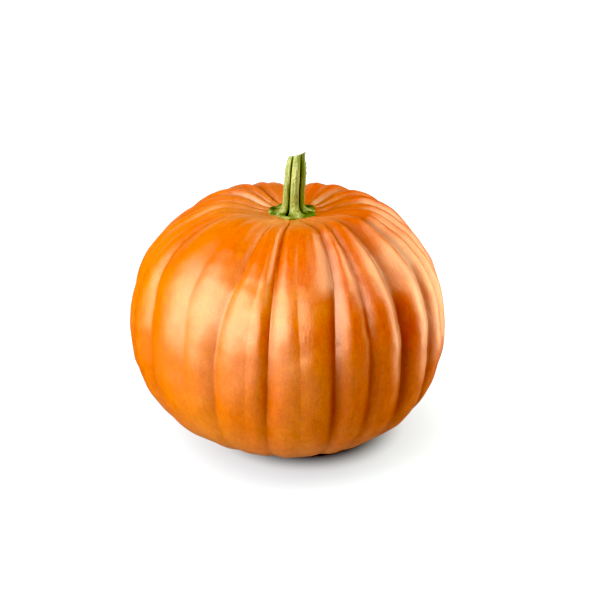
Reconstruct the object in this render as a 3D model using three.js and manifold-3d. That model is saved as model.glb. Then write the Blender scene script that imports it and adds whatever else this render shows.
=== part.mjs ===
// A ripe, ribbed field pumpkin that stands on its blossom end, with its cut green stem.
// Millimetres, +Z up. The origin is on the surface that the fruit rests on, under the middle of its
// bounding box. The fruit's front faces -Y, and azimuths run from there towards +X, in degrees.
// Two solids: the fruit, which grew as one piece, and the stem, whose foot spreads over the fruit's skin.

import * as THREE from "three";
import { mergeVertices } from "three/addons/utils/BufferGeometryUtils.js";
import Module from "manifold-3d";

// The fruit's outline over the rib crests: two rounded quarters, above and below its widest level
const BODY_RADIUS = 140.5;
const RISE = 116.5;
const DROP = 107;
const BELLY_POWER = 2.24;
const RISE_POWER = 2.35;
const DROP_POWER = 2.3;

// The hollow that the stem stands in, the one round the blossom scar, and the scar's corky button
const STEM_HOLLOW_DEPTH = 19.5;
const STEM_HOLLOW_RADIUS = 71;
const BLOSSOM_HOLLOW_DEPTH = 11;
const BLOSSOM_HOLLOW_RADIUS = 50;
const SCAR_HEIGHT = 2;
const SCAR_RADIUS = 8;

// How far the fruit's own weight has flattened the lowest ribs, how far it is out of round at its widest
// level, how squarish its shoulders are, and how far the stem stands off centre
const FLAT_SPOT = 1.3;
const OUT_OF_ROUND = 1.1;
const SQUARENESS = 2.5;
const STEM_OFFSET = 4.8;

// Each groove: its azimuth at the widest level, how far it leans by the shoulder, its depth in mm, and
// how far the rib that follows it swells beyond the rest in mm
const GROOVES = [
  [-6.5, 0, 5.6, 0.6],
  [4, 0, 0.9, 0.2],
  [16.5, 3, 6.4, 0],
  [28.5, 0, 5.4, 0.3],
  [43, -1, 6.8, 0.8],
  [60, 2, 7, 0.2],
  [75, 2, 5.2, 0],
  [89, 1, 6, 0.6],
  [106, -2, 6, 0.9],
  [121, -1, 4.6, 0],
  [135, 1, 6.4, 0.4],
  [152, 2, 2.4, 0.9],
  [169, 0, 3.2, 0.1],
  [181, 1, 6.2, 0.7],
  [196, 3, 1.2, 1.4],
  [207, 2, 6.6, 1.8],
  [224, 0, 4.6, 1.6],
  [238, -2, 6.1, 0.4],
  [253, -1, 5.2, 0.5],
  [269, -3, 6, 0],
  [286, -8, 4.2, 0.4],
  [304, -12, 5.4, 0.5],
  [323, -2, 2.8, 0],
  [335.5, 4, 5.2, 0.2],
  [346, 3, 0.9, 0.2],
];

// A groove's flanks, as a power of the way across the rib, and the width of its rounded floor
const FLANK_POWER = 3;
const GROOVE_FLOOR = 0.05;

// The stem, above the floor of its hollow: five ridges that spread into a foot with a cupped lobe between
// each two of them
const STEM_HEIGHT = 50;
const STEM_RIDGES = 5;
const STEM_TURN = 18;
const STEM_TWIST = -18;
const STEM_LEAN = [3.4, 1.5];
const FOOT_SINK = 12;
const CUT_SLOPE = [0.27, -0.45];
const CUT_CUP = 0.035;
const PITH_DEPTH = 1.6;
const SEAT_GAP = 0.3;

// Radius and height along a ridge and along the valley between two, from the foot's rim up to the cut
const RIDGE_LINE = [
  [17.8, 0.7], [15.8, 1.8], [13, 3.6], [10.8, 6.4], [9.5, 11], [9.3, 18], [9.4, 28], [8.8, 40],
  [6.9, STEM_HEIGHT],
];
const VALLEY_LINE = [
  [21, 0.5], [20.2, 2.2], [17.6, 2.8], [13.4, 0.9], [9.2, 1.2], [6.9, 5.5], [6.2, 16], [6, 28],
  [5.6, 40], [4.9, STEM_HEIGHT],
];

// How finely the solids are faceted
const RIB_SAMPLES = [0, 0.1, 0.33, 0.67, 0.9];
const FRUIT_RINGS = 33;
const STEM_SLICES_PER_RIDGE = 8;
const STEM_RINGS = 24;
const CUT_RINGS = [0.72, 0.38];

const DEGREE = Math.PI / 180;
const { clamp, smoothstep } = THREE.MathUtils;

// A smooth dish: 1 at the axis, 0 from the given radius outwards
const dish = (r, radius) => clamp(1 - (r / radius) ** 2, 0, 1) ** 2;

// The outline over the rib crests at a latitude, from -90 at the blossom end to 90 at the stem
function crest(latitude) {
  const across = Math.abs(Math.cos(latitude * DEGREE));
  const up = Math.sin(latitude * DEGREE);
  const r = BODY_RADIUS * across ** (2 / BELLY_POWER);
  const z = up > 0
    ? RISE * up ** (2 / RISE_POWER) - STEM_HOLLOW_DEPTH * dish(r, STEM_HOLLOW_RADIUS)
    : -DROP * (-up) ** (2 / DROP_POWER) + BLOSSOM_HOLLOW_DEPTH * dish(r, BLOSSOM_HOLLOW_RADIUS)
      - SCAR_HEIGHT * dish(r, SCAR_RADIUS);
  return { r, z };
}

// The outline's outward normal, as radius and height
function crestNormal(latitude) {
  const step = 0.5;
  const below = crest(Math.max(latitude - step, -90));
  const above = crest(Math.min(latitude + step, 90));
  const length = Math.hypot(above.r - below.r, above.z - below.z);
  return { r: (above.z - below.z) / length, z: (below.r - above.r) / length };
}

// The share of its full depth that a groove has at a latitude: it is shallow on the lower flank, and runs
// out under the stem and at the scar
function grooveShare(latitude, r) {
  const lowerFlank = smoothstep(-latitude, 0, 35) * (1 - smoothstep(-latitude, 50, 72));
  return latitude > 0
    ? (1 + 0.3 * Math.sin(latitude * DEGREE) ** 2) * (r / BODY_RADIUS) ** 0.4 * smoothstep(r, 17, 30)
    : (1 - 0.55 * lowerFlank) * (r / BODY_RADIUS) ** 1.2 * smoothstep(r, 9, 26);
}

// A groove's azimuth at a latitude: it leans towards the shoulder and wanders a little on the way
function grooveAzimuth(index, latitude) {
  const turns = Math.floor(index / GROOVES.length);
  const groove = index % GROOVES.length;
  const [azimuth, lean] = GROOVES[groove];
  const wander = 0.5 * Math.sin(latitude * 3 * DEGREE + groove * 2.4);
  return azimuth + 360 * turns + lean * smoothstep(latitude, 5, 62) + wander;
}

// How much of a groove's depth is left at a share of the way across the rib
function flank(share) {
  const rounded = Math.hypot(share, GROOVE_FLOOR) - GROOVE_FLOOR;
  return Math.max(1 - rounded, 0) ** FLANK_POWER;
}

const lowestCrest = Math.min(...Array.from({ length: 361 }, (_, i) => crest(-90 + i / 4).z));
const floorLevel = lowestCrest + FLAT_SPOT;

// A point of the fruit's skin: on a rib, at a share of the way across it, at a latitude
function skinPoint(rib, share, latitude) {
  const { r, z } = crest(latitude);
  const normal = crestNormal(latitude);
  const [, , depth, swell] = GROOVES[rib];
  const nextDepth = GROOVES[(rib + 1) % GROOVES.length][2];
  const from = grooveAzimuth(rib, latitude);
  const azimuth = (from + (grooveAzimuth(rib + 1, latitude) - from) * share) * DEGREE;
  const inward = grooveShare(latitude, r) * (depth * flank(share) + nextDepth * flank(1 - share));
  const swelling = swell * Math.sin(Math.PI * share) + OUT_OF_ROUND * Math.sin(2 * azimuth + 0.9);
  const corners = -SQUARENESS * Math.cos(4 * azimuth) * Math.max(Math.sin(2 * latitude * DEGREE), 0);
  const outward = swelling * Math.cos(latitude * DEGREE) + corners - inward;
  const radius = r + normal.r * outward;
  const height = z + normal.z * outward;
  return new THREE.Vector3(
    radius * Math.sin(azimuth) + STEM_OFFSET * smoothstep(latitude, 20, 80),
    -radius * Math.cos(azimuth),
    Math.max(height - floorLevel, 0),
  );
}

// A closed skin over rings of points, from its lowest point to its highest, in counter-clockwise rings
function closedSkin(lowest, rings, highest) {
  const count = rings[0].length;
  const points = [lowest, ...rings.flat(), highest];
  const at = (ring, i) => 1 + ring * count + (i % count);
  const faces = [];
  for (let i = 0; i < count; i++) {
    faces.push(0, at(0, i + 1), at(0, i));
    for (let ring = 0; ring < rings.length - 1; ring++) {
      const [a, b, c, d] = [at(ring, i), at(ring, i + 1), at(ring + 1, i + 1), at(ring + 1, i)];
      faces.push(a, b, c, a, c, d);
    }
    faces.push(at(rings.length - 1, i), at(rings.length - 1, i + 1), points.length - 1);
  }
  const geometry = new THREE.BufferGeometry().setFromPoints(points);
  return geometry.setIndex(faces);
}

// The latitude of a ring of facets: the rings lie closer together towards both ends than at the belly
function ringLatitude(ring) {
  const share = (ring + 1) / (FRUIT_RINGS + 1);
  return -45 * (Math.cos(Math.PI * share) + 1 - 2 * share);
}

function makeFruit() {
  const latitudes = Array.from({ length: FRUIT_RINGS }, (_, ring) => ringLatitude(ring));
  const rings = latitudes.map((latitude) =>
    GROOVES.flatMap((_, rib) => RIB_SAMPLES.map((share) => skinPoint(rib, share, latitude))));
  return closedSkin(skinPoint(0, 0, -90), rings, skinPoint(0, 0, 90));
}

// The height of the hollow's floor at a radius from the stem's axis
function hollowFloor(r) {
  const latitude = Math.acos((r / BODY_RADIUS) ** (BELLY_POWER / 2)) / DEGREE;
  return crest(latitude).z - floorLevel;
}

// A smooth line through points of radius and height
function smoothLine(points) {
  return new THREE.CatmullRomCurve3(points.map(([r, h]) => new THREE.Vector3(r, 0, h)));
}

const ridgeLine = smoothLine(RIDGE_LINE);
const valleyLine = smoothLine(VALLEY_LINE);

// 1 on a ridge and 0 in a valley: the ridges run out over the foot as thin buttresses
function ridgeShare(angle, along) {
  const across = Math.abs(THREE.MathUtils.euclideanModulo(angle * STEM_RIDGES / 360 + 0.5, 1) - 0.5) * 2;
  const onFoot = (1 - across) ** 1.6;
  const onShaft = 1 - across ** 2.4;
  return THREE.MathUtils.lerp(onFoot, onShaft, smoothstep(along, 0.1, 0.4));
}

// A point of the stem's side, from the foot's rim at 0 up to the cut at 1
function stemPoint(angle, along) {
  const share = ridgeShare(angle, along);
  const line = valleyLine.getPoint(along).lerp(ridgeLine.getPoint(along), share);
  const r = line.x;
  const azimuth = (angle + STEM_TURN + STEM_TWIST * along) * DEGREE;
  const climb = line.z / STEM_HEIGHT;
  const x = r * Math.sin(azimuth);
  const y = -r * Math.cos(azimuth);
  const cut = (CUT_SLOPE[0] * x + CUT_SLOPE[1] * y + CUT_CUP * x * x) * climb ** 4;
  const base = hollowFloor(r) * (1 - climb) + hollowFloor(0) * climb;
  return new THREE.Vector3(
    x + STEM_OFFSET + STEM_LEAN[0] * climb ** 1.6,
    y + STEM_LEAN[1] * climb ** 1.6,
    base + line.z + cut,
  );
}

function makeStem(wasm, fruit) {
  const slices = STEM_RIDGES * STEM_SLICES_PER_RIDGE;
  const angles = Array.from({ length: slices }, (_, i) => (360 * i) / slices);
  const side = Array.from({ length: STEM_RINGS }, (_, i) =>
    angles.map((angle) => stemPoint(angle, i / (STEM_RINGS - 1))));
  const root = side[0].map((p) => new THREE.Vector3(p.x, p.y, p.z - FOOT_SINK));
  const rim = side[side.length - 1];
  const pith = rim.reduce((sum, p) => sum.add(p), new THREE.Vector3()).divideScalar(slices);
  pith.z -= PITH_DEPTH;
  const cut = CUT_RINGS.map((share) => rim.map((p) => pith.clone().lerp(p, share)));
  const foot = new THREE.Vector3(STEM_OFFSET, 0, root[0].z);
  const stem = solid(wasm, closedSkin(foot, [root, ...side, ...cut], pith));
  return geometryOf(stem.subtract(solid(wasm, fruit).translate([0, 0, SEAT_GAP])));
}

function solid(wasm, geometry) {
  const bare = new THREE.BufferGeometry()
    .setAttribute("position", geometry.getAttribute("position"))
    .setIndex(geometry.index);
  const merged = mergeVertices(bare, 1e-3);
  return new wasm.Manifold(new wasm.Mesh({
    numProp: 3,
    vertProperties: merged.attributes.position.array,
    triVerts: new Uint32Array(merged.index.array),
  }));
}

function geometryOf(made) {
  const mesh = made.getMesh();
  return new THREE.BufferGeometry()
    .setAttribute("position", new THREE.BufferAttribute(mesh.vertProperties, 3))
    .setIndex(new THREE.BufferAttribute(mesh.triVerts, 1));
}

function namedMesh(name, geometry, color, roughness) {
  geometry.computeVertexNormals();
  const material = new THREE.MeshStandardMaterial({ color, roughness, metalness: 0 });
  const mesh = new THREE.Mesh(geometry, material);
  mesh.name = name;
  return mesh;
}

const wasm = await Module();
wasm.setup();

const pumpkin = new THREE.Group();
const fruit = makeFruit();
pumpkin.add(
  namedMesh("fruit", fruit, 0xe87a14, 0.42),
  namedMesh("stem", makeStem(wasm, fruit), 0x9aa84e, 0.6),
);

// The group is placed with the middle of its bounding box over the origin
const middle = new THREE.Box3().setFromObject(pumpkin).getCenter(new THREE.Vector3());
pumpkin.position.set(-middle.x, -middle.y, 0);

export default pumpkin;
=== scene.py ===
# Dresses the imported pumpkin: a fine rind with its folds and markings, and a corky, ridged stem, in soft
# studio light on a pale floor. Shapes are worked out in millimetres and handed to Blender in metres.
import math
import bpy
import numpy as np
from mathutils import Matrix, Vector


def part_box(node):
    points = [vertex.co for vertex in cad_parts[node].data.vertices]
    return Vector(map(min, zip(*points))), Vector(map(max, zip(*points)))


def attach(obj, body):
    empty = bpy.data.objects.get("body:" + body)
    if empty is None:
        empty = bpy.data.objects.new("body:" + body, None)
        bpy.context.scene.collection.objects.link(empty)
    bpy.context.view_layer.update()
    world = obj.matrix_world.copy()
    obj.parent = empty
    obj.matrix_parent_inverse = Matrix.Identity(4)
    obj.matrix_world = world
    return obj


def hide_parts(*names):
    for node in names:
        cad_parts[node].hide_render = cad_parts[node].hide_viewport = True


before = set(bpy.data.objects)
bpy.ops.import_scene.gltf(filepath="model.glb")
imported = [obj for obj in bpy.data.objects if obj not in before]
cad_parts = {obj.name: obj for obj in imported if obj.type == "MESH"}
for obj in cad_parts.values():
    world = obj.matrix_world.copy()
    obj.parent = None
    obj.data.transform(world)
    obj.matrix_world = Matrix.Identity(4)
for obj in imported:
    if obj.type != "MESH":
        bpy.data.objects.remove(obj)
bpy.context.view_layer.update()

MM = 0.001
DEGREE = math.pi / 180

# The fruit's outline over the rib crests: two rounded quarters, above and below its widest level
BODY_RADIUS = 140.5
RISE = 116.5
DROP = 107
BELLY_POWER = 2.24
RISE_POWER = 2.35
DROP_POWER = 2.3

# The hollow that the stem stands in, the one round the blossom scar, and the scar's corky button
STEM_HOLLOW_DEPTH = 19.5
STEM_HOLLOW_RADIUS = 71
BLOSSOM_HOLLOW_DEPTH = 11
BLOSSOM_HOLLOW_RADIUS = 50
SCAR_HEIGHT = 2
SCAR_RADIUS = 8

# How far the lowest ribs are flattened, how far the fruit is out of round at its widest level and at what
# phase in radians, how squarish its shoulders are, and how far the stem stands off centre
FLAT_SPOT = 1.3
OUT_OF_ROUND = 1.1
OUT_OF_ROUND_PHASE = 0.9
SQUARENESS = 2.5
STEM_OFFSET = 4.8

# Azimuths run from the fruit's front, which faces -Y, towards +X, in degrees. These are of the lit side,
# where the rind's colour holds painted light in a more golden tone and painted shade in a redder one away
# from it, and of the side where the stem has painted shade.
LIT_SIDE = -60
SHADED_SIDE = 80

# Each groove: its azimuth at the widest level, how far it leans by the shoulder, its depth in mm, and
# how far the rib that follows it swells beyond the rest in mm
GROOVES = (
    (-6.5, 0, 5.6, 0.6),
    (4, 0, 0.9, 0.2),
    (16.5, 3, 6.4, 0),
    (28.5, 0, 5.4, 0.3),
    (43, -1, 6.8, 0.8),
    (60, 2, 7, 0.2),
    (75, 2, 5.2, 0),
    (89, 1, 6, 0.6),
    (106, -2, 6, 0.9),
    (121, -1, 4.6, 0),
    (135, 1, 6.4, 0.4),
    (152, 2, 2.4, 0.9),
    (169, 0, 3.2, 0.1),
    (181, 1, 6.2, 0.7),
    (196, 3, 1.2, 1.4),
    (207, 2, 6.6, 1.8),
    (224, 0, 4.6, 1.6),
    (238, -2, 6.1, 0.4),
    (253, -1, 5.2, 0.5),
    (269, -3, 6, 0),
    (286, -8, 4.2, 0.4),
    (304, -12, 5.4, 0.5),
    (323, -2, 2.8, 0),
    (335.5, 4, 5.2, 0.2),
    (346, 3, 0.9, 0.2),
)

# A groove's flanks, as a power of the way across the rib, the width of its rounded floor, how far it wanders
# in degrees, how much deeper it is at the shoulder and shallower on the lower flank, and the radii between
# which it runs out under the stem and at the scar
FLANK_POWER = 3
GROOVE_FLOOR = 0.05
GROOVE_WANDER = 0.5
SHOULDER_DEEPENING = 0.3
LOWER_SHALLOWING = 0.55
GROOVE_END_AT_STEM = (17, 30)
GROOVE_END_AT_SCAR = (9, 26)

# The depth of crease in mm that its mark counts as 1, and how slowly the rind's long grain changes along a
# rib, beside its change across it
FULL_CREASE = 6.4
GRAIN_ALONG = 0.35

# The fine folds on each rib, which gather towards the stem and the scar: their number, their width, places
# and drift as shares of the rib, their depths in mm, the latitudes that they start at, how deep those near
# the scar are beside the others, and the radii between which they run out at both ends
FOLDS_PER_RIB = 3
FOLD_WIDTH = 0.09
FOLD_PLACES = (0.2, 0.8)
FOLD_DRIFT = 0.1
FOLD_DEPTHS = (0.15, 0.5)
FOLD_STARTS = (28, 50)
LOWER_FOLD_SHARE = 0.6
FOLD_SEED = 100
FOLD_END_AT_STEM = (17, 26)
FOLD_END_AT_SCAR = (9, 24)

# The rind's broad dents and smaller lumps, each with its height in mm, wavelength in mm and seed, and the
# radii between which they run out towards the axis
DENTS = ((0.55, 90, 11), (0.28, 34, 12), (0.1, 13, 13))
DENTS_END = (20, 60)

# The stem, above the floor of its hollow: five ridges that spread into a foot with a cupped lobe
# between each two of them
STEM_HEIGHT = 50
STEM_RIDGES = 5
STEM_TURN = 18
STEM_TWIST = -18
STEM_LEAN = (3.4, 1.5)
LEAN_POWER = 1.6
CUT_SLOPE = (0.27, -0.45)
CUT_CUP = 0.035
PITH_DEPTH = 1.6

# Radius and height along a ridge and along the valley between two, from the foot's rim up to the cut
RIDGE_LINE = (
    (17.8, 0.7), (15.8, 1.8), (13, 3.6), (10.8, 6.4), (9.5, 11), (9.3, 18), (9.4, 28), (8.8, 40),
    (6.9, STEM_HEIGHT),
)
VALLEY_LINE = (
    (21, 0.5), (20.2, 2.2), (17.6, 2.8), (13.4, 0.9), (9.2, 1.2), (6.9, 5.5), (6.2, 16), (6, 28),
    (5.6, 40), (4.9, STEM_HEIGHT),
)

# How far the foot goes on down into the fruit, and how much narrower it is there
FOOT_SINK = 5
ROOT_SHARE = 0.96

# The stem's surface, each layer with its height in mm, wavelength in mm and seed: fibres and bulges along
# the shaft, and the foot's wavy rim and uneven top. Fibres change this much more slowly along the shaft.
FIBRES = ((0.16, 3.2, 21), (0.08, 1.7, 22))
FIBRE_ALONG = 0.1
BULGES = ((0.25, 14, 24),)
RIM_WAVES = ((0.7, 9, 26),)
FOOT_BUMPS = ((0.5, 8, 25),)

# The corky warts on the stem's ridges: only lumps over a threshold show, up to a height in mm
WART_HEIGHT = 0.55
WART_THRESHOLD = 0.7
WART_WAVELENGTH = 2.6
WART_SEED = 23

# The cut face: its grain in mm, and the depth in mm and the share of its radius of its pith hole
CUT_GRAIN_HEIGHT = 0.45
CUT_GRAIN_WAVELENGTH = 2.2
CUT_GRAIN_SEED = 31
PITH_HOLE_DEPTH = 1.1
PITH_HOLE_SHARE = 0.42

# How finely the two pieces are meshed, and how far the fruit's rings gather towards both ends, from 0 to 1
SAMPLES_PER_RIB = 17
FRUIT_RINGS = 200
RING_GATHERING = 0.9
STEM_SLICES_PER_RIDGE = 34
STEM_RINGS = 150
CUT_RINGS = 22


def smoothstep(value, low, high):
    share = np.clip((value - low) / (high - low), 0, 1)
    return share * share * (3 - 2 * share)


def dish(r, radius):
    """A smooth dish: 1 at the axis, 0 from the given radius outwards."""
    return np.clip(1 - (r / radius) ** 2, 0, 1) ** 2


def soft_lumps(points, wavelength, seed, waves=14):
    """A smooth random field over points in mm, about -1 to 1, with features of about a wavelength."""
    random = np.random.default_rng(seed)
    total = np.zeros(points.shape[:-1])
    for _ in range(waves):
        direction = random.normal(size=3)
        direction *= random.uniform(0.7, 1.4) / np.linalg.norm(direction)
        phase = random.uniform(0, 2 * math.pi)
        total += np.sin(points @ direction * 2 * math.pi / wavelength + phase)
    return total / math.sqrt(waves)


def layered(points, layers):
    """Soft lumps in mm, summed over layers of height, wavelength and seed."""
    return sum(height * soft_lumps(points, wavelength, seed) for height, wavelength, seed in layers)


# The fruit's shape

def crest(latitude):
    """Radius and height of the outline over the rib crests, by latitude from -90 to 90."""
    across = np.abs(np.cos(latitude * DEGREE))
    up = np.sin(latitude * DEGREE)
    r = BODY_RADIUS * across ** (2 / BELLY_POWER)
    above = RISE * np.abs(up) ** (2 / RISE_POWER) - STEM_HOLLOW_DEPTH * dish(r, STEM_HOLLOW_RADIUS)
    below = (-DROP * np.abs(up) ** (2 / DROP_POWER)
             + BLOSSOM_HOLLOW_DEPTH * dish(r, BLOSSOM_HOLLOW_RADIUS)
             - SCAR_HEIGHT * dish(r, SCAR_RADIUS))
    return r, np.where(up > 0, above, below)


def crest_normal(latitude):
    """The outline's outward normal, as radius and height."""
    step = 0.5
    r_below, z_below = crest(np.maximum(latitude - step, -90))
    r_above, z_above = crest(np.minimum(latitude + step, 90))
    length = np.hypot(r_above - r_below, z_above - z_below)
    return (z_above - z_below) / length, (r_below - r_above) / length


def groove_share(latitude, r):
    """The share of its full depth that a groove has: it runs out under the stem and at the scar."""
    reach = r / BODY_RADIUS
    steepness = 1 + SHOULDER_DEEPENING * np.sin(latitude * DEGREE) ** 2
    above = steepness * reach ** 0.4 * smoothstep(r, *GROOVE_END_AT_STEM)
    lower_flank = smoothstep(-latitude, 0, 35) * (1 - smoothstep(-latitude, 50, 72))
    below = (1 - LOWER_SHALLOWING * lower_flank) * reach ** 1.2 * smoothstep(r, *GROOVE_END_AT_SCAR)
    return np.where(latitude > 0, above, below)


def groove_azimuth(index, latitude):
    """A groove's azimuth at a latitude: it leans towards the shoulder and wanders a little on the way."""
    turns, groove = divmod(index, len(GROOVES))
    azimuth, lean = GROOVES[groove][:2]
    wander = GROOVE_WANDER * np.sin(latitude * 3 * DEGREE + groove * 2.4)
    return azimuth + 360 * turns + lean * smoothstep(latitude, 5, 62) + wander


def flank(share):
    """How much of a groove's depth is left at a share of the way across the rib."""
    rounded = np.hypot(share, GROOVE_FLOOR) - GROOVE_FLOOR
    return np.maximum(1 - rounded, 0) ** FLANK_POWER


LOWEST_CREST = crest(np.linspace(-90, 0, 361))[1].min()
FLOOR_LEVEL = LOWEST_CREST + FLAT_SPOT


def rib_folds(rib, shares, lat, r):
    """The depth in mm of one rib's fine folds: long ones near the stem and shallower ones near the scar."""
    random = np.random.default_rng(FOLD_SEED + rib)
    folds = np.zeros_like(lat)
    for _ in range(FOLDS_PER_RIB):
        place = random.uniform(*FOLD_PLACES)
        drift = random.uniform(-FOLD_DRIFT, FOLD_DRIFT)
        depth = random.uniform(*FOLD_DEPTHS)
        start = random.uniform(*FOLD_STARTS)
        line = np.exp(-((shares - place - drift * lat / 90) / FOLD_WIDTH) ** 2)
        upper = smoothstep(lat, start, start + 30) * smoothstep(r, *FOLD_END_AT_STEM)
        lower = LOWER_FOLD_SHARE * smoothstep(-lat, start + 5, start + 40) * smoothstep(r, *FOLD_END_AT_SCAR)
        folds += depth * line * (upper + lower)
    return folds


def rib_strip(rib, shares, latitude):
    """One rib's points in mm, as rings by shares across the rib, with their marks and their radius."""
    r, z = (column[:, None] for column in crest(latitude))
    normal_r, normal_z = (column[:, None] for column in crest_normal(latitude))
    depth, swell = GROOVES[rib][2:]
    next_depth = GROOVES[(rib + 1) % len(GROOVES)][2]
    start = groove_azimuth(rib, latitude)[:, None]
    end = groove_azimuth(rib + 1, latitude)[:, None]
    azimuth = (start + (end - start) * shares) * DEGREE
    lat = np.repeat(latitude[:, None], len(shares), 1)

    creases = depth * flank(shares) + next_depth * flank(1 - shares)
    inward = groove_share(lat, r) * creases
    folds = rib_folds(rib, shares, lat, r)
    swelling = swell * np.sin(np.pi * shares) + OUT_OF_ROUND * np.sin(2 * azimuth + OUT_OF_ROUND_PHASE)
    corners = -SQUARENESS * np.cos(4 * azimuth) * np.maximum(np.sin(2 * lat * DEGREE), 0)
    outward = swelling * np.cos(lat * DEGREE) + corners - inward - folds
    radius = r + normal_r * outward
    height = z + normal_z * outward
    points = np.stack([
        radius * np.sin(azimuth) + STEM_OFFSET * smoothstep(lat, 20, 80),
        -radius * np.cos(azimuth),
        height,
    ], axis=-1)

    # "across" is the place that long grain is drawn at: it changes quickly across a rib, slowly along it
    marks = {
        "crease": np.clip(creases / FULL_CREASE, 0, 1.2) * np.ones_like(lat),
        # 1 on the side the key light comes from: it carries the rind's painted light and painted shade
        "lit_side": 0.5 + 0.5 * np.cos(azimuth - LIT_SIDE * DEGREE),
        "latitude": lat / 90,
        "across": np.stack([np.sin(azimuth), -np.cos(azimuth), lat / 90 * GRAIN_ALONG], axis=-1),
    }
    return points, marks, radius


def ring_latitudes(count):
    """Latitudes of the rings, closer together towards both ends than at the belly."""
    share = (np.arange(count) + 1) / (count + 1)
    return -45 * (RING_GATHERING * np.cos(np.pi * share) + (2 - RING_GATHERING) * (1 - 2 * share))


def mesh_piece(name, points, faces, marks):
    """A smooth mesh piece from points in mm, with its marks as attributes for the material."""
    mesh = bpy.data.meshes.new(name)
    mesh.from_pydata((points * MM).tolist(), [], faces)
    for mark, values in marks.items():
        if values.ndim == 2:
            layer = mesh.attributes.new(mark, "FLOAT_VECTOR", "POINT")
            layer.data.foreach_set("vector", values.astype(np.float32).ravel())
        else:
            layer = mesh.attributes.new(mark, "FLOAT", "POINT")
            layer.data.foreach_set("value", values.astype(np.float32).ravel())
    mesh.polygons.foreach_set("use_smooth", np.ones(len(mesh.polygons), dtype=bool))
    mesh.update()
    piece = bpy.data.objects.new(name, mesh)
    bpy.context.collection.objects.link(piece)
    return piece


def skin_faces(rings, count):
    """Faces of a closed skin: a lowest point, rings of points counter-clockwise, and a highest point."""
    last = rings * count + 1
    faces = []
    for i in range(count):
        j = (i + 1) % count
        faces.append((0, 1 + j, 1 + i))
        for ring in range(rings - 1):
            low = 1 + ring * count
            faces.append((low + i, low + j, low + count + j, low + count + i))
        top = 1 + (rings - 1) * count
        faces.append((top + i, top + j, last))
    return faces


def make_fruit():
    latitude = ring_latitudes(FRUIT_RINGS)

    # The points across a rib lie closest together at the grooves, where the skin bends most
    even = np.arange(SAMPLES_PER_RIB) / SAMPLES_PER_RIB
    shares = even - 0.055 * np.sin(4 * np.pi * even) - 0.03 * np.sin(2 * np.pi * even)
    strips = [rib_strip(rib, shares, latitude) for rib in range(len(GROOVES))]
    rings = np.concatenate([strip[0] for strip in strips], axis=1)
    radius = np.concatenate([strip[2] for strip in strips], axis=1)

    away = rings / np.linalg.norm(rings, axis=-1, keepdims=True)
    dents = layered(rings, DENTS) * smoothstep(radius, *DENTS_END)
    rings = rings + away * dents[..., None]
    rings[..., 2] = np.maximum(rings[..., 2] - FLOOR_LEVEL, 0)

    lowest = np.array([0, 0, crest(np.array([-90.0]))[1][0] - FLOOR_LEVEL])
    highest = np.array([STEM_OFFSET, 0, crest(np.array([90.0]))[1][0] - FLOOR_LEVEL])
    points = np.concatenate([[lowest], rings.reshape(-1, 3), [highest]])
    marks = {}
    for mark in strips[0][1]:
        whole = np.concatenate([strip[1][mark] for strip in strips], axis=1)
        flat = whole.reshape(whole.shape[0] * whole.shape[1], *whole.shape[2:])
        marks[mark] = np.concatenate([flat[:1], flat, flat[-1:]])
    marks["from_axis"] = np.concatenate([[0], radius.ravel(), [0]]) / BODY_RADIUS
    return mesh_piece("pumpkin_rind", points, skin_faces(FRUIT_RINGS, rings.shape[1]), marks)


# The stem's shape

def hollow_floor(r):
    """The height of the hollow's floor at a radius from the stem's axis."""
    latitude = np.arccos(np.clip(r / BODY_RADIUS, 0, 1) ** (BELLY_POWER / 2)) / DEGREE
    return crest(latitude)[1] - FLOOR_LEVEL


def smooth_line(points, along):
    """A Catmull-Rom line through points, at shares along it of equal steps per point."""
    line = np.array(points, dtype=float)
    line = np.vstack([2 * line[0] - line[1], line, 2 * line[-1] - line[-2]])
    place = along * (len(points) - 1)
    index = np.minimum(place.astype(int), len(points) - 2)
    t = (place - index)[..., None]
    p0, p1, p2, p3 = (line[index + k] for k in range(4))
    return 0.5 * (2 * p1 + (p2 - p0) * t + (2 * p0 - 5 * p1 + 4 * p2 - p3) * t ** 2
                  + (3 * p1 - p0 - 3 * p2 + p3) * t ** 3)


def ridge_share(angle, along):
    """1 on a ridge and 0 in a valley: thin buttresses on the foot, broad ridges on the shaft."""
    across = np.abs(np.mod(angle * STEM_RIDGES / 360 + 0.5, 1) - 0.5) * 2
    on_foot = (1 - across) ** 1.6
    on_shaft = 1 - across ** 2.4
    blend = smoothstep(along, 0.1, 0.4)
    return on_foot * (1 - blend) + on_shaft * blend


def around_stem(r, angle, rise):
    """Places round the stem in mm, for its lumps: not yet turned, twisted or leaned."""
    return np.stack([r * np.sin(angle * DEGREE), r * np.cos(angle * DEGREE), rise], axis=-1)


def cut_face(rim):
    """Rings of the hollowed, grainy cut face, from just inside its rim to its middle, and their shares."""
    pith = rim.mean(axis=0) - [0, 0, PITH_DEPTH]
    shares = np.linspace(1, 0, CUT_RINGS + 2)[1:-1]
    face = []
    for inner in shares:
        ring = pith + (rim - pith) * inner
        grain = soft_lumps(ring, CUT_GRAIN_WAVELENGTH, CUT_GRAIN_SEED) * 0.5 + 0.5
        ring[:, 2] += CUT_GRAIN_HEIGHT * grain * (1 - inner) ** 0.3
        ring[:, 2] -= PITH_HOLE_DEPTH * smoothstep(PITH_HOLE_SHARE - inner, 0, 0.25)
        face.append(ring)
    return np.array(face), shares


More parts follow.
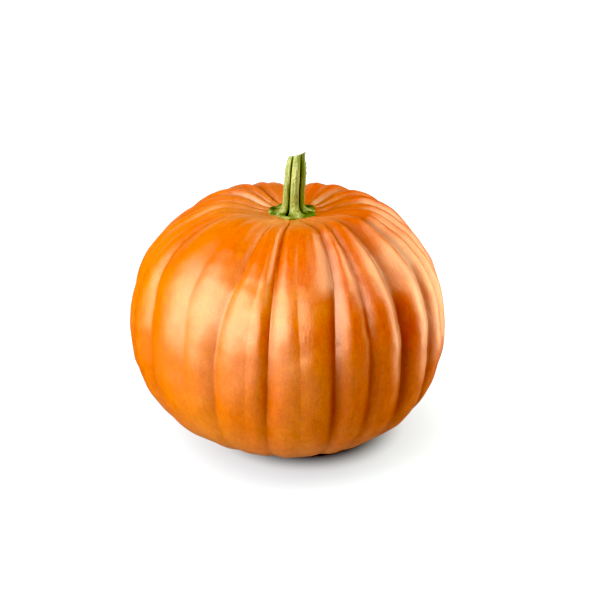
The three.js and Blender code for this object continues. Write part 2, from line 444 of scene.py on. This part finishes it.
def make_stem():
    slices = STEM_RIDGES * STEM_SLICES_PER_RIDGE
    angle = np.arange(slices) * 360 / slices * np.ones((STEM_RINGS, 1))
    along = np.linspace(0, 1, STEM_RINGS)[:, None] * np.ones(slices)
    share = ridge_share(angle, along)
    line = (smooth_line(VALLEY_LINE, along) * (1 - share[..., None])
            + smooth_line(RIDGE_LINE, along) * share[..., None])
    r = line[..., 0]
    rise = line[..., 1]
    reach = r / RIDGE_LINE[0][0]
    climb = rise / STEM_HEIGHT

    # Fibres and bulges along the shaft, small corky warts on its ridges, and a wavy foot
    place = around_stem(r, angle, rise)
    fibres = layered(around_stem(r, angle, rise * FIBRE_ALONG), FIBRES)
    lumps = np.clip(soft_lumps(place, WART_WAVELENGTH, WART_SEED) - WART_THRESHOLD, 0, 1)
    warts = lumps * WART_HEIGHT * smoothstep(share, 0.4, 0.9)
    shaft = smoothstep(climb, 0.03, 0.12)
    r = r + (fibres + warts) * shaft + layered(place, BULGES) * shaft
    r = r + layered(place, RIM_WAVES) * smoothstep(along, 0.35, 0.1)

    azimuth = (angle + STEM_TURN + STEM_TWIST * along) * DEGREE
    x = r * np.sin(azimuth)
    y = -r * np.cos(azimuth)
    cut = (CUT_SLOPE[0] * x + CUT_SLOPE[1] * y + CUT_CUP * x * x) * climb ** 4
    base = hollow_floor(r) * (1 - climb) + hollow_floor(np.array(0.0)) * climb
    base = base + layered(place, FOOT_BUMPS) * smoothstep(along, 0, 0.1) * smoothstep(along, 0.5, 0.3)
    side = np.stack([
        x + STEM_OFFSET + STEM_LEAN[0] * climb ** LEAN_POWER,
        y + STEM_LEAN[1] * climb ** LEAN_POWER,
        base + rise + cut,
    ], axis=-1)

    centre = np.array([STEM_OFFSET, 0, 0])
    root = centre + (side[:1] - centre) * [ROOT_SHARE, ROOT_SHARE, 1] - [0, 0, FOOT_SINK]
    face, inner_shares = cut_face(side[-1])
    rings = np.concatenate([root, side, face])
    lowest = root[0].mean(axis=0)
    highest = face[-1].mean(axis=0)
    points = np.concatenate([[lowest], rings.reshape(-1, 3), [highest]])

    def whole(on_side, on_root, on_face):
        """A mark's values at every point, from its values on the root, the side and the cut face."""
        face_values = on_face * np.ones(len(face))
        parts = [np.full((1, slices), on_root), on_side, face_values[:, None] * np.ones(slices)]
        flat = np.concatenate(parts).ravel()
        return np.concatenate([flat[:1], flat, flat[-1:]])

    marks = {
        "ridge": whole(share, 0.0, 0.6),
        "climb": whole(climb, 0.0, 1.0),
        "cut": whole(np.zeros_like(climb), 0.0, 2 - inner_shares),
        "reach": whole(reach, 1.2, 0.0),
        # Painted shade: 1 on the side away from the key light, where the stem is coloured darker
        "shaded": whole(0.5 + 0.5 * np.cos(azimuth - SHADED_SIDE * DEGREE), 0.0, 0.0),
    }
    return mesh_piece("pumpkin_stem", points, skin_faces(len(rings), slices), marks)


# The materials

class Paint:
    """A node material, built up from small steps.

    The scale of noises and cells is in features per metre, or per unit of the place that they are given.
    """

    def __init__(self, name):
        self.material = bpy.data.materials.new(name)
        self.material.use_nodes = True
        self.tree = self.material.node_tree
        self.shader = self.tree.nodes["Principled BSDF"]
        self.coordinates = self.tree.nodes.new("ShaderNodeTexCoord").outputs["Object"]

    def node(self, kind, **settings):
        made = self.tree.nodes.new(kind)
        for setting, value in settings.items():
            setattr(made, setting, value)
        return made

    def plug(self, value, socket):
        if isinstance(value, bpy.types.NodeSocket):
            self.tree.links.new(value, socket)
        elif socket.type == "RGBA" and len(value) == 3:
            socket.default_value = (*value, 1)
        else:
            socket.default_value = value

    def mark(self, name, vector=False):
        outputs = self.node("ShaderNodeAttribute", attribute_name=name).outputs
        return outputs["Vector"] if vector else outputs["Fac"]

    def noise(self, scale, detail=3, roughness=0.55, distortion=0, place=None):
        made = self.node("ShaderNodeTexNoise")
        self.plug(self.coordinates if place is None else place, made.inputs["Vector"])
        for socket, value in (("Scale", scale), ("Detail", detail), ("Roughness", roughness),
                              ("Distortion", distortion)):
            made.inputs[socket].default_value = value
        return made.outputs[0]

    def cells(self, scale, place=None):
        made = self.node("ShaderNodeTexVoronoi")
        self.plug(self.coordinates if place is None else place, made.inputs["Vector"])
        made.inputs["Scale"].default_value = scale
        return made.outputs["Distance"]

    def stretch(self, amounts):
        made = self.node("ShaderNodeMapping")
        self.plug(self.coordinates, made.inputs["Vector"])
        made.inputs["Scale"].default_value = amounts
        return made.outputs[0]

    def band(self, value, low, high, at_low=0.0, at_high=1.0):
        """Goes smoothly from at_low to at_high while a value goes from low to high."""
        made = self.node("ShaderNodeMapRange", interpolation_type="SMOOTHSTEP")
        for socket, amount in zip(made.inputs, (value, low, high, at_low, at_high)):
            self.plug(amount, socket)
        return made.outputs[0]

    def combine(self, operation, a, b):
        made = self.node("ShaderNodeMath", operation=operation)
        self.plug(a, made.inputs[0])
        self.plug(b, made.inputs[1])
        return made.outputs[0]

    def plus(self, a, b):
        return self.combine("ADD", a, b)

    def times(self, a, b):
        return self.combine("MULTIPLY", a, b)

    def mix(self, share, a, b):
        """Colour a, with a share of colour b over it."""
        made = self.node("ShaderNodeMix", data_type="RGBA")
        self.plug(share, made.inputs[0])
        self.plug(a, made.inputs[6])
        self.plug(b, made.inputs[7])
        return made.outputs[2]

    def bump(self, height, distance, strength):
        made = self.node("ShaderNodeBump")
        made.inputs["Strength"].default_value = strength
        made.inputs["Distance"].default_value = distance
        self.plug(height, made.inputs["Height"])
        self.plug(made.outputs[0], self.shader.inputs["Normal"])

    def finish(self, color, roughness, **constants):
        self.plug(color, self.shader.inputs["Base Color"])
        self.plug(roughness, self.shader.inputs["Roughness"])
        for socket, value in constants.items():
            self.shader.inputs[socket.replace("_", " ")].default_value = value
        return self.material


def rind_material():
    paint = Paint("rind")
    around = paint.mark("across", vector=True)
    crease = paint.mark("crease")
    latitude = paint.mark("latitude")
    from_axis = paint.mark("from_axis")
    lit_side = paint.mark("lit_side")

    orange = (0.60, 0.082, 0.001)
    golden_and_lit = (0.70, 0.225, 0.003)
    ruddy_shade = (0.56, 0.062, 0.001)
    deep_and_crease_shade = (0.28, 0.03, 0.001)
    peach_and_sheen = (0.66, 0.27, 0.12)
    underside_and_bounce = (0.76, 0.32, 0.14)
    freckle = (0.95, 0.5, 0.15)
    cork = (0.30, 0.17, 0.07)

    # Orange, more golden in patches and in streaks; painted light makes the lit side more golden, and painted
    # shade makes the other side redder
    patches = paint.band(paint.noise(9, detail=4, distortion=0.6), 0.42, 0.66, 0.0, 0.35)
    lit_golden_share = paint.times(
        paint.band(lit_side, 0.5, 1, 0.0, 0.45),
        paint.band(latitude, 0.6, 0.25, 0.3, 1.0),
    )
    streaks = paint.band(paint.noise(46, detail=5, roughness=0.65, place=around), 0.38, 0.7)
    color = paint.mix(paint.band(lit_side, 0.8, 0.5, 0.0, 0.8), orange, ruddy_shade)
    color = paint.mix(paint.plus(patches, lit_golden_share), color, golden_and_lit)
    color = paint.mix(paint.times(streaks, 0.3), color, golden_and_lit)

    # Painted shade in the grooves, least on the lit side and lower down
    groove_shade = paint.band(crease, 0.35, 1.05, 0.0, 0.7)
    groove_shade = paint.times(groove_shade, paint.band(latitude, -0.15, -0.5, 1.0, 0.4))
    groove_shade = paint.times(groove_shade, paint.band(lit_side, 0.62, 0.8, 1.0, 0.4))
    color = paint.mix(groove_shade, color, deep_and_crease_shade)

    # Paler towards the stem, partly the rind's own tint and partly painted sheen, more of it on the lit side
    near_stem_and_sheen = paint.band(from_axis, 0.66, 0.16, 0.0, 0.6)
    near_stem_and_sheen = paint.times(near_stem_and_sheen, paint.band(latitude, 0.2, 0.5))
    near_stem_and_sheen = paint.times(near_stem_and_sheen, paint.band(lit_side, 0.1, 0.6, 0.3, 1.0))
    color = paint.mix(near_stem_and_sheen, color, peach_and_sheen)
    # Paler towards the ground, partly the rind's pale ground spot and partly painted bounce light from the
    # floor
    ground_spot_and_bounce = paint.band(latitude, -0.12, -0.6, 0.0, 0.6)
    color = paint.mix(ground_spot_and_bounce, color, underside_and_bounce)

    # Fine mottling and small pale freckles
    mottle = paint.band(paint.noise(160, detail=4, roughness=0.6), 0.35, 0.7, 0.0, 0.17)
    color = paint.mix(mottle, color, deep_and_crease_shade)
    grains = paint.band(paint.noise(460, detail=2), 0.42, 0.62, 0.0, 0.15)
    color = paint.mix(grains, color, deep_and_crease_shade)
    freckles = paint.band(paint.cells(230), 0.22, 0.08, 0.0, 0.12)
    sparse = paint.band(paint.noise(22, detail=2), 0.45, 0.62)
    color = paint.mix(paint.times(freckles, sparse), color, freckle)

    # The corky button of the blossom scar
    scar = paint.times(paint.band(from_axis, 0.075, 0.05), paint.band(latitude, -0.5, -0.8))
    color = paint.mix(scar, color, cork)

    wax = paint.band(paint.noise(30, detail=5, roughness=0.6), 0.3, 0.7, 0.37, 0.46)
    pores = paint.times(paint.noise(420, detail=3), 0.35)
    grain = paint.times(paint.noise(90, detail=4, place=around), 0.65)
    paint.bump(paint.plus(pores, grain), distance=0.0006, strength=0.5)
    return paint.finish(color, wax, Specular_IOR_Level=1.0, Coat_Weight=0.3, Coat_Roughness=0.42)


def foot_color(paint, ridge, reach, height):
    """The colour of the stem's foot: cream buttresses between green lobes with painted shade in the hollows,
    and pale rims.
    """
    cream = (0.72, 0.70, 0.38)
    lobe_dark = (0.06, 0.13, 0.025)
    lobe_light = (0.22, 0.31, 0.10)
    hollow_shade = (0.03, 0.05, 0.01)
    rim_pale = (0.42, 0.47, 0.16)

    blotches = paint.noise(95, detail=3)
    lobe = paint.mix(paint.band(blotches, 0.5, 0.72), lobe_dark, lobe_light)
    foot = paint.mix(paint.band(height, 1.0, 1.35), lobe, cream)
    hollow = paint.times(paint.band(reach, 0.45, 0.6), paint.band(reach, 1.12, 0.92))
    hollow = paint.times(hollow, paint.band(ridge, 0.7, 0.35))
    foot = paint.mix(hollow, foot, hollow_shade)
    rim = paint.band(paint.plus(reach, paint.times(blotches, 0.5)), 1.36, 1.46, 0.0, 0.8)
    return paint.mix(rim, foot, rim_pale)


def cut_color(paint, cut):
    """The colour of the cut face, whose mark goes from 1 at its rim to 2 in its middle."""
    skin = (0.40, 0.42, 0.16)
    flesh = (0.55, 0.50, 0.28)
    pith = (0.16, 0.13, 0.05)

    face = paint.mix(paint.band(cut, 1.15, 1.6), skin, flesh)
    return paint.mix(paint.band(cut, 1.62, 1.78), face, pith)


def stem_material():
    paint = Paint("stem")
    ridge = paint.mark("ridge")
    climb = paint.mark("climb")
    cut = paint.mark("cut")
    reach = paint.mark("reach")
    shaded = paint.mark("shaded")

    pale = (0.46, 0.49, 0.23)
    green = (0.23, 0.29, 0.09)
    dark = (0.06, 0.09, 0.02)
    shade = (0.07, 0.115, 0.02)
    tan = (0.25, 0.19, 0.07)

    # Long pale streaks on the ridges, dark valleys deepened with painted shade, and painted shade in darker
    # green on the side away from the key light
    streaks = paint.noise(480, detail=4, roughness=0.6, place=paint.stretch((1, 1, 0.06)))
    height = paint.plus(ridge, paint.times(streaks, 0.5))
    color = paint.mix(paint.band(streaks, 0.35, 0.65), green, pale)
    # The valleys are a darker green, deepened here with painted shade
    color = paint.mix(paint.band(height, 0.45, 0.95), dark, color)
    color = paint.mix(paint.band(shaded, 0.6, 0.97, 0.0, 0.55), color, shade)
    color = paint.mix(paint.band(climb, 0.10, 0.02), color, foot_color(paint, ridge, reach, height))

    # Small corky specks
    specks = paint.band(paint.cells(620, place=paint.stretch((1, 1, 0.6))), 0.45, 0.2, 0.0, 0.8)
    specks = paint.times(specks, paint.band(paint.noise(70, detail=2), 0.36, 0.56))
    color = paint.mix(specks, color, tan)
    color = paint.mix(paint.band(cut, 0.9, 1.05), color, cut_color(paint, cut))

    rough = paint.band(paint.noise(200, detail=3), 0.3, 0.7, 0.5, 0.72)
    grain = paint.times(streaks, 0.7)
    paint.bump(paint.plus(grain, paint.noise(900, detail=2)), distance=0.0005, strength=0.6)
    return paint.finish(color, rough, Specular_IOR_Level=0.4)


# The pieces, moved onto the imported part's place

fruit = make_fruit()
low, high = (np.array(corner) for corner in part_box("fruit"))
spread = np.array([tuple(vertex.co) for vertex in fruit.data.vertices])
shift = (low + high) / 2 - (spread.min(axis=0) + spread.max(axis=0)) / 2
shift[2] = 0
stem = make_stem()
placed = (
    (fruit, "fruit", "rind", rind_material()),
    (stem, "stem", "stem", stem_material()),
)
for piece, node, slot, material in placed:
    for vertex in piece.data.vertices:
        vertex.co += Vector(shift)
    piece.data.materials.append(material)
    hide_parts(node)
    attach(piece, "root")


# The studio

# The tints of the light from the front left, of the light from the right and behind, and of a paler sheen
KEY_TINT = (1, 0.98, 0.68)
SIDE_TINT = (1, 0.97, 0.56)
SHEEN_TINT = (1, 0.93, 0.8)

# Each light: its name, azimuth and elevation in degrees, distance and size in metres, power in watts and
# tint, and whether it shows only in highlights
LIGHTS = (
    ("key", -62, 28, 1.5, (1.6, 2.0), 52, KEY_TINT, False),
    ("sheen", -48, 24, 1.5, (1.2, 1.2), 7, SHEEN_TINT, True),
    ("front", -11, 26, 1.5, (0.8, 1.1), 18, KEY_TINT, True),
    ("right", 115, 13, 1.3, (1.0, 1.9), 26, SIDE_TINT, False),
    ("top_right", 80, 53, 1.4, (0.9, 0.9), 12, SIDE_TINT, False),
    ("back", -165, 14, 1.6, (1.4, 1.0), 2.5, SIDE_TINT, True),
)

# The height in metres that the lights are aimed at, the strength of the light from all round, and the tone
# that counts as black
AIM_HEIGHT = 0.11
SURROUND_STRENGTH = 0.06
BLACK_LEVEL = 0.052

WHITE = (1, 1, 1, 1)
FLOOR_HALF_SIDE = 8
BACKDROP_RADIUS = 12

# The floor's own colour, and the middle of the painted shadow under the fruit. The floor glows outside that
# painted shadow: each step has the distances in metres between which it comes in, and its strength.
FLOOR_COLOR = (0.195, 0.237, 0.36)
SHADOW_MIDDLE = (0.017, -0.002, 0)
NEAR_GLOW = (0.059, 0.091, 0.6)
FAR_GLOW = (0.075, 0.18, 0.4)


def make_floor():
    side = FLOOR_HALF_SIDE
    mesh = bpy.data.meshes.new("studio_floor")
    corners = [(-side, -side, 0), (side, -side, 0), (side, side, 0), (-side, side, 0)]
    mesh.from_pydata(corners, [], [(0, 1, 2, 3)])
    floor = bpy.data.objects.new("studio_floor", mesh)
    bpy.context.collection.objects.link(floor)
    paint = Paint("studio_floor")
    # Painted shadow: the floor's glow fades out near the fruit, darkening the floor under it
    length = paint.node("ShaderNodeVectorMath", operation="DISTANCE")
    paint.plug(paint.coordinates, length.inputs[0])
    length.inputs[1].default_value = SHADOW_MIDDLE
    near, far = (
        paint.band(length.outputs["Value"], start, end, 0.0, strength)
        for start, end, strength in (NEAR_GLOW, FAR_GLOW)
    )
    paint.plug(paint.plus(near, far), paint.shader.inputs["Emission Strength"])
    paint.shader.inputs["Emission Color"].default_value = WHITE
    mesh.materials.append(paint.finish(FLOOR_COLOR, 0.9, Specular_IOR_Level=0.1))
    floor.visible_glossy = False
    floor.visible_shadow = False


def make_backdrop():
    """A plain white surround far behind everything, seen by the camera alone."""
    bpy.ops.mesh.primitive_uv_sphere_add(segments=48, ring_count=24, radius=BACKDROP_RADIUS)
    backdrop = bpy.context.object
    backdrop.name = "studio_backdrop"
    paint = Paint("studio_backdrop")
    paint.shader.inputs["Emission Color"].default_value = WHITE
    paint.shader.inputs["Emission Strength"].default_value = 1
    backdrop.data.materials.append(paint.finish((0, 0, 0), 1.0, Specular_IOR_Level=0.0))
    backdrop.visible_diffuse = False
    backdrop.visible_glossy = False
    backdrop.visible_shadow = False


def make_light(name, azimuth, elevation, distance, size, power, tint, sheen_only):
    """An area light aimed at the fruit's middle, placed by its azimuth from the front and its elevation."""
    aim = Vector((0, 0, AIM_HEIGHT))
    level = math.cos(elevation * DEGREE)
    place = aim + distance * Vector((
        math.sin(azimuth * DEGREE) * level,
        -math.cos(azimuth * DEGREE) * level,
        math.sin(elevation * DEGREE),
    ))
    light = bpy.data.lights.new(name, "AREA")
    light.shape = "RECTANGLE"
    light.size, light.size_y = size
    light.energy = power
    light.color = tint
    lamp = bpy.data.objects.new(name, light)
    lamp.location = place
    lamp.visible_camera = False
    lamp.visible_diffuse = not sheen_only
    lamp.rotation_euler = (aim - place).to_track_quat("-Z", "Y").to_euler()
    bpy.context.collection.objects.link(lamp)


def make_surround():
    """Weak white light from all round."""
    world = bpy.data.worlds.new("studio")
    world.use_nodes = True
    background = world.node_tree.nodes["Background"]
    background.inputs["Color"].default_value = WHITE
    background.inputs["Strength"].default_value = SURROUND_STRENGTH
    bpy.context.scene.world = world


def set_tones():
    """The photograph's contrast: plain tones, with the darkest ones brought down to black."""
    view = bpy.context.scene.view_settings
    view.view_transform = "Standard"
    view.use_curve_mapping = True
    view.curve_mapping.black_level = (BLACK_LEVEL, BLACK_LEVEL, BLACK_LEVEL)
    view.curve_mapping.update()


def make_camera():
    """The photograph's view: from 24 degrees above, 1 m from the middle of the fruit's widest level."""
    elevation = 24 * DEGREE
    distance = 1.0
    pixels_per_metre = 1132
    centre_pixel = (287.3, 318.6)
    image_side = 600
    aim = Vector((shift[0], shift[1], -FLOOR_LEVEL * MM))
    camera = bpy.data.cameras.new("camera")
    camera.sensor_width = 36
    camera.lens = pixels_per_metre * distance / image_side * camera.sensor_width
    camera.shift_x = (image_side / 2 - centre_pixel[0]) / image_side
    camera.shift_y = (centre_pixel[1] - image_side / 2) / image_side
    viewer = bpy.data.objects.new("camera", camera)
    viewer.location = aim + Vector((0, -math.cos(elevation), math.sin(elevation))) * distance
    viewer.rotation_euler = (math.pi / 2 - elevation, 0, 0)
    bpy.context.collection.objects.link(viewer)
    bpy.context.scene.camera = viewer


make_floor()
make_backdrop()
for light_row in LIGHTS:
    make_light(*light_row)
make_surround()
set_tones()
make_camera()
